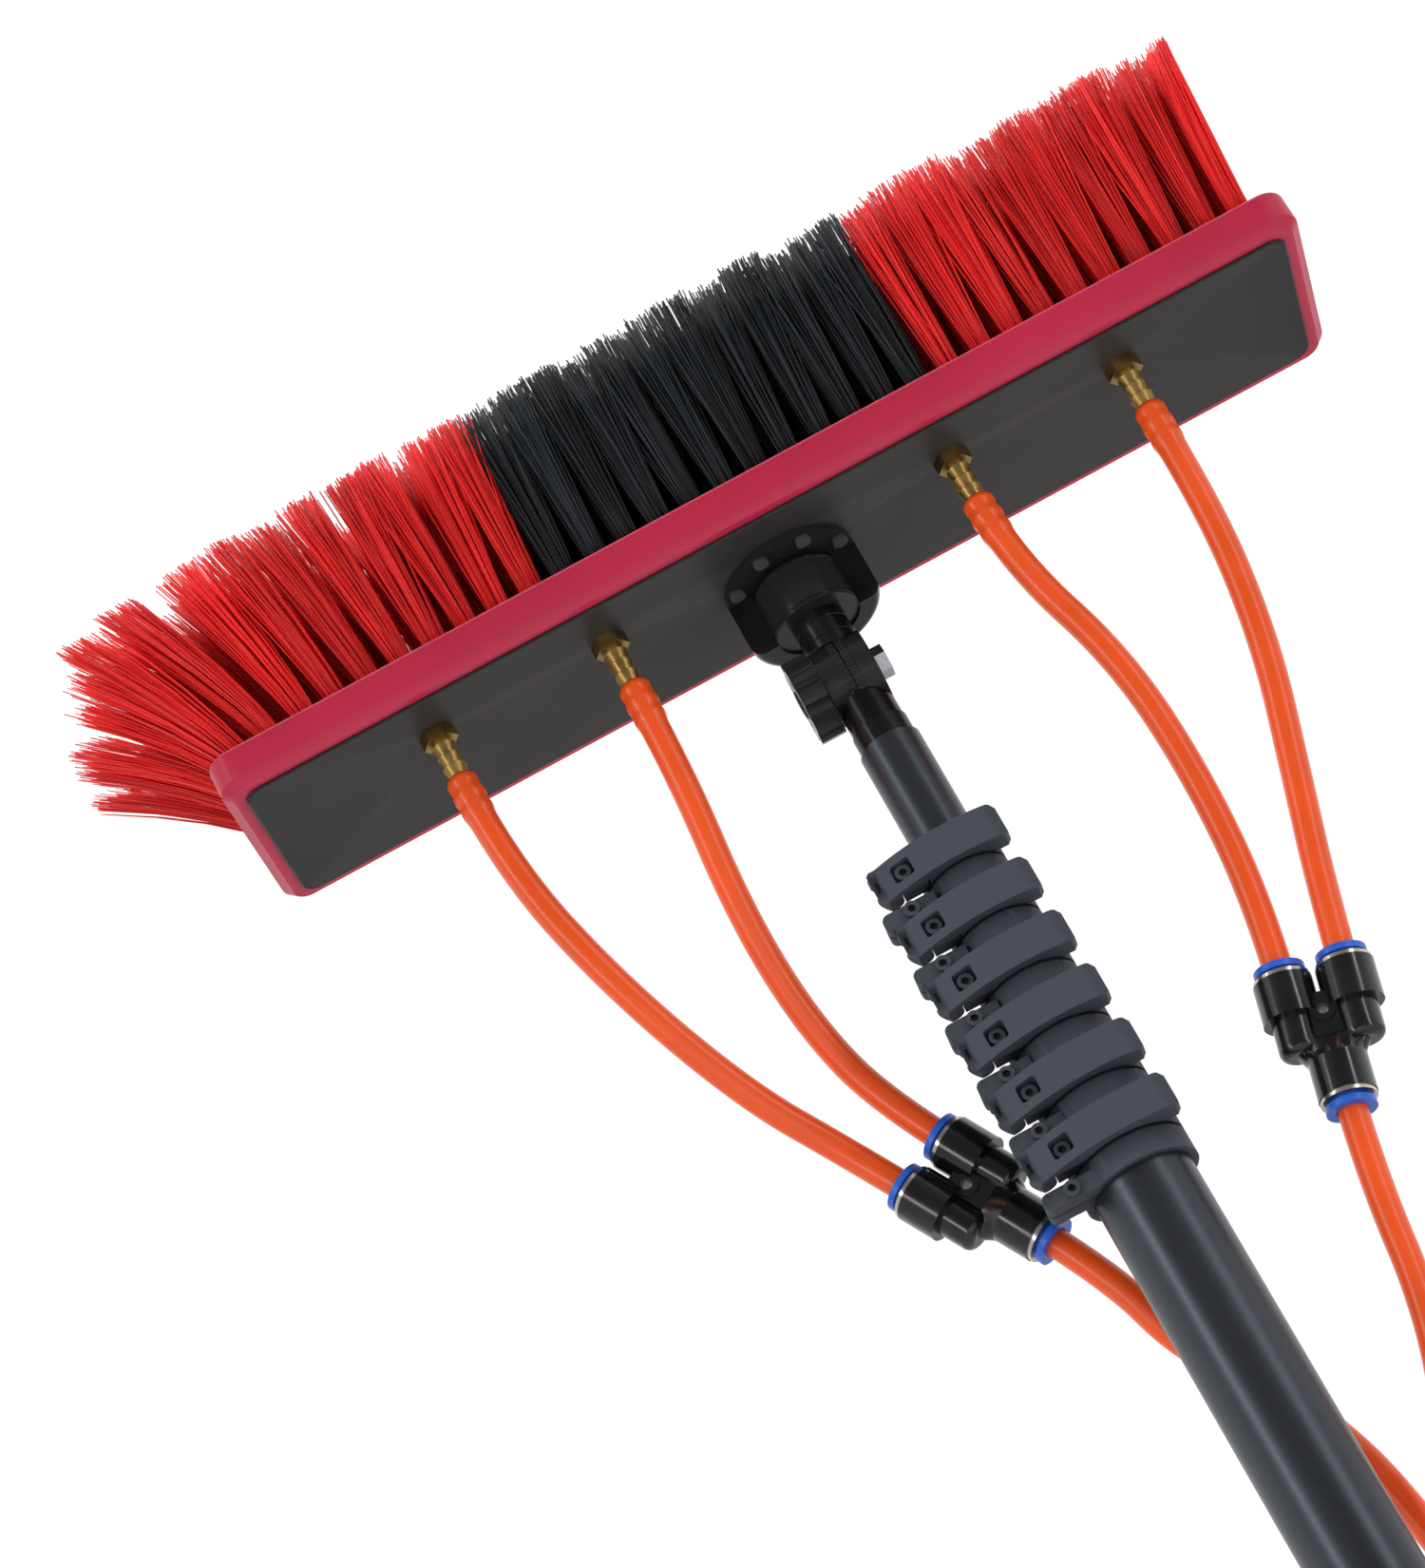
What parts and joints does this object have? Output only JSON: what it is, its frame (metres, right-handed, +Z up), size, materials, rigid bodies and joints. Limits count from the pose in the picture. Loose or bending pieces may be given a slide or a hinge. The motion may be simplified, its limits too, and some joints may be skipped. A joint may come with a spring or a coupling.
{
  "type": "water-fed window cleaning pole",
  "caption": "Telescopic pole with lever clamps and a tilting, long rectangular bristle brush fed by four branch hoses from push-in Y fittings.",
  "frame": {"origin": "centre of the end cap's flat bottom face, at the pole's butt", "axes": "+Z up the pole towards the brush, +X along the brush's long axis, -Y the side of the clamp levers and of the hose barbs"},
  "size_m": [0.4529, 0.1061, 1.3354],
  "materials": {
    "block_crimson": "satin",
    "panel_charcoal": "satin",
    "bristle_red": "matte",
    "bristle_black": "matte",
    "brass": "polished",
    "nozzle": "satin",
    "black_nylon": "satin",
    "screw_steel": "satin",
    "black_bolt": "satin",
    "tube": "satin anodised",
    "clamp": "matte",
    "lever": "matte",
    "hose": "gloss, slightly translucent",
    "fitting": "gloss",
    "nickel": "polished",
    "collet": "satin"
  },
  "bodies": {
    "pole_7": {"tube_7": "tube", "end_cap": "clamp", "clamp_body_6": "clamp", "clamp_bolts_6": "black_bolt"},
    "section_6": {"tube_6": "tube", "clamp_body_5": "clamp", "clamp_bolts_5": "black_bolt"},
    "section_5": {"tube_5": "tube", "clamp_body_4": "clamp", "clamp_bolts_4": "black_bolt"},
    "section_4": {"tube_4": "tube", "clamp_body_3": "clamp", "clamp_bolts_3": "black_bolt"},
    "section_3": {"tube_3": "tube", "clamp_body_2": "clamp", "clamp_bolts_2": "black_bolt"},
    "section_2": {"tube_2": "tube", "clamp_body_1": "clamp", "clamp_bolts_1": "black_bolt"},
    "section_1": {"tube_1": "tube", "knuckle_base": "black_nylon", "hose_branch_1": "hose", "hose_branch_2": "hose", "hose_branch_3": "hose", "hose_branch_4": "hose", "trunk_hose_left": "hose", "trunk_hose_right": "hose", "y_left": "fitting", "y_right": "fitting", "y_inlet": "fitting", "port_rings": "nickel"},
    "brush_head": {"brush_block": "block_crimson", "back_panel": "panel_charcoal", "bristles_left": "bristle_red", "bristles_centre": "bristle_black", "bristles_right": "bristle_red", "inlet_barbs": "brass", "spray_jets": "nozzle", "socket_housing": "black_nylon", "housing_screws": "black_bolt", "socket_collar": "black_nylon", "swivel_arm": "black_nylon", "pivot_bolt": "screw_steel"},
    "knob": {"tilt_knob": "black_nylon"},
    "lever_1": {"clamp_lever_1": "lever"},
    "lever_2": {"clamp_lever_2": "lever"},
    "lever_3": {"clamp_lever_3": "lever"},
    "lever_4": {"clamp_lever_4": "lever"},
    "lever_5": {"clamp_lever_5": "lever"},
    "lever_6": {"clamp_lever_6": "lever"},
    "release_left_a": {"collet_left_a": "collet"},
    "release_left_b": {"collet_left_b": "collet"},
    "release_left_outlet": {"collet_left_outlet": "collet"},
    "release_right_a": {"collet_right_a": "collet"},
    "release_right_b": {"collet_right_b": "collet"},
    "release_right_outlet": {"collet_right_outlet": "collet"},
    "release_inlet_a": {"collet_inlet_a": "collet"},
    "release_inlet_b": {"collet_inlet_b": "collet"},
    "release_inlet_outlet": {"collet_inlet_outlet": "collet"}
  },
  "joints": [
    {"name": "slide_6", "type": "slide", "parent": "pole_7", "child": "section_6", "axis": [0, 0, 1], "range_m": [0, 0.86]},
    {"name": "slide_5", "type": "slide", "parent": "section_6", "child": "section_5", "axis": [0, 0, 1], "range_m": [0, 0.86]},
    {"name": "slide_4", "type": "slide", "parent": "section_5", "child": "section_4", "axis": [0, 0, 1], "range_m": [0, 0.86]},
    {"name": "slide_3", "type": "slide", "parent": "section_4", "child": "section_3", "axis": [0, 0, 1], "range_m": [0, 0.86]},
    {"name": "slide_2", "type": "slide", "parent": "section_3", "child": "section_2", "axis": [0, 0, 1], "range_m": [0, 0.86]},
    {"name": "slide_1", "type": "slide", "parent": "section_2", "child": "section_1", "axis": [0, 0, 1], "range_m": [0, 0.86]},
    {"name": "head_tilt", "type": "hinge", "parent": "section_1", "child": "brush_head", "pos_m": [0, 0, 1.1915], "axis": [1, 0, 0], "range_deg": [-90, 90], "deforming": ["hose_branch_1", "hose_branch_2", "hose_branch_3", "hose_branch_4"]},
    {"name": "knob_turn", "type": "hinge", "parent": "brush_head", "child": "knob", "pos_m": [0, 0, 1.1915], "axis": [-1, 0, 0], "continuous": true},
    {"name": "lever_1_hinge", "type": "hinge", "parent": "section_2", "child": "lever_1", "pos_m": [-0.0253, -0.0085, 1.1117], "axis": [0, 0, -1], "range_deg": [0, 100]},
    {"name": "lever_2_hinge", "type": "hinge", "parent": "section_3", "child": "lever_2", "pos_m": [-0.02577, -0.00918, 1.0889], "axis": [0, 0, -1], "range_deg": [0, 100]},
    {"name": "lever_3_hinge", "type": "hinge", "parent": "section_4", "child": "lever_3", "pos_m": [-0.02625, -0.00987, 1.0661], "axis": [0, 0, -1], "range_deg": [0, 100]},
    {"name": "lever_4_hinge", "type": "hinge", "parent": "section_5", "child": "lever_4", "pos_m": [-0.02672, -0.01055, 1.0433], "axis": [0, 0, -1], "range_deg": [0, 100]},
    {"name": "lever_5_hinge", "type": "hinge", "parent": "section_6", "child": "lever_5", "pos_m": [-0.02719, -0.01123, 1.0205], "axis": [0, 0, -1], "range_deg": [0, 100]},
    {"name": "lever_6_hinge", "type": "hinge", "parent": "pole_7", "child": "lever_6", "pos_m": [-0.02766, -0.01191, 0.9977], "axis": [0, 0, -1], "range_deg": [0, 100]},
    {"name": "press_left_a", "type": "slide", "parent": "section_1", "child": "release_left_a", "axis": [0.4691, 0, -0.8832], "range_m": [0, 0.0012], "stiffness_N_per_m": 400, "springref_m": -0.002},
    {"name": "press_left_b", "type": "slide", "parent": "section_1", "child": "release_left_b", "axis": [0.4691, 0, -0.8832], "range_m": [0, 0.0012], "stiffness_N_per_m": 400, "springref_m": -0.002},
    {"name": "press_left_outlet", "type": "slide", "parent": "section_1", "child": "release_left_outlet", "axis": [-0.4691, 0, 0.8832], "range_m": [0, 0.0012], "stiffness_N_per_m": 400, "springref_m": -0.002},
    {"name": "press_right_a", "type": "slide", "parent": "section_1", "child": "release_right_a", "axis": [-0.2421, 0, -0.9703], "range_m": [0, 0.0012], "stiffness_N_per_m": 400, "springref_m": -0.002},
    {"name": "press_right_b", "type": "slide", "parent": "section_1", "child": "release_right_b", "axis": [-0.2421, 0, -0.9703], "range_m": [0, 0.0012], "stiffness_N_per_m": 400, "springref_m": -0.002},
    {"name": "press_right_outlet", "type": "slide", "parent": "section_1", "child": "release_right_outlet", "axis": [0.2421, 0, 0.9703], "range_m": [0, 0.0012], "stiffness_N_per_m": 400, "springref_m": -0.002},
    {"name": "press_inlet_a", "type": "slide", "parent": "section_1", "child": "release_inlet_a", "axis": [0, 0, -1], "range_m": [0, 0.0012], "stiffness_N_per_m": 400, "springref_m": -0.002},
    {"name": "press_inlet_b", "type": "slide", "parent": "section_1", "child": "release_inlet_b", "axis": [0, 0, -1], "range_m": [0, 0.0012], "stiffness_N_per_m": 400, "springref_m": -0.002},
    {"name": "press_inlet_outlet", "type": "slide", "parent": "section_1", "child": "release_inlet_outlet", "axis": [0, 0, 1], "range_m": [0, 0.0012], "stiffness_N_per_m": 400, "springref_m": -0.002}
  ]
}
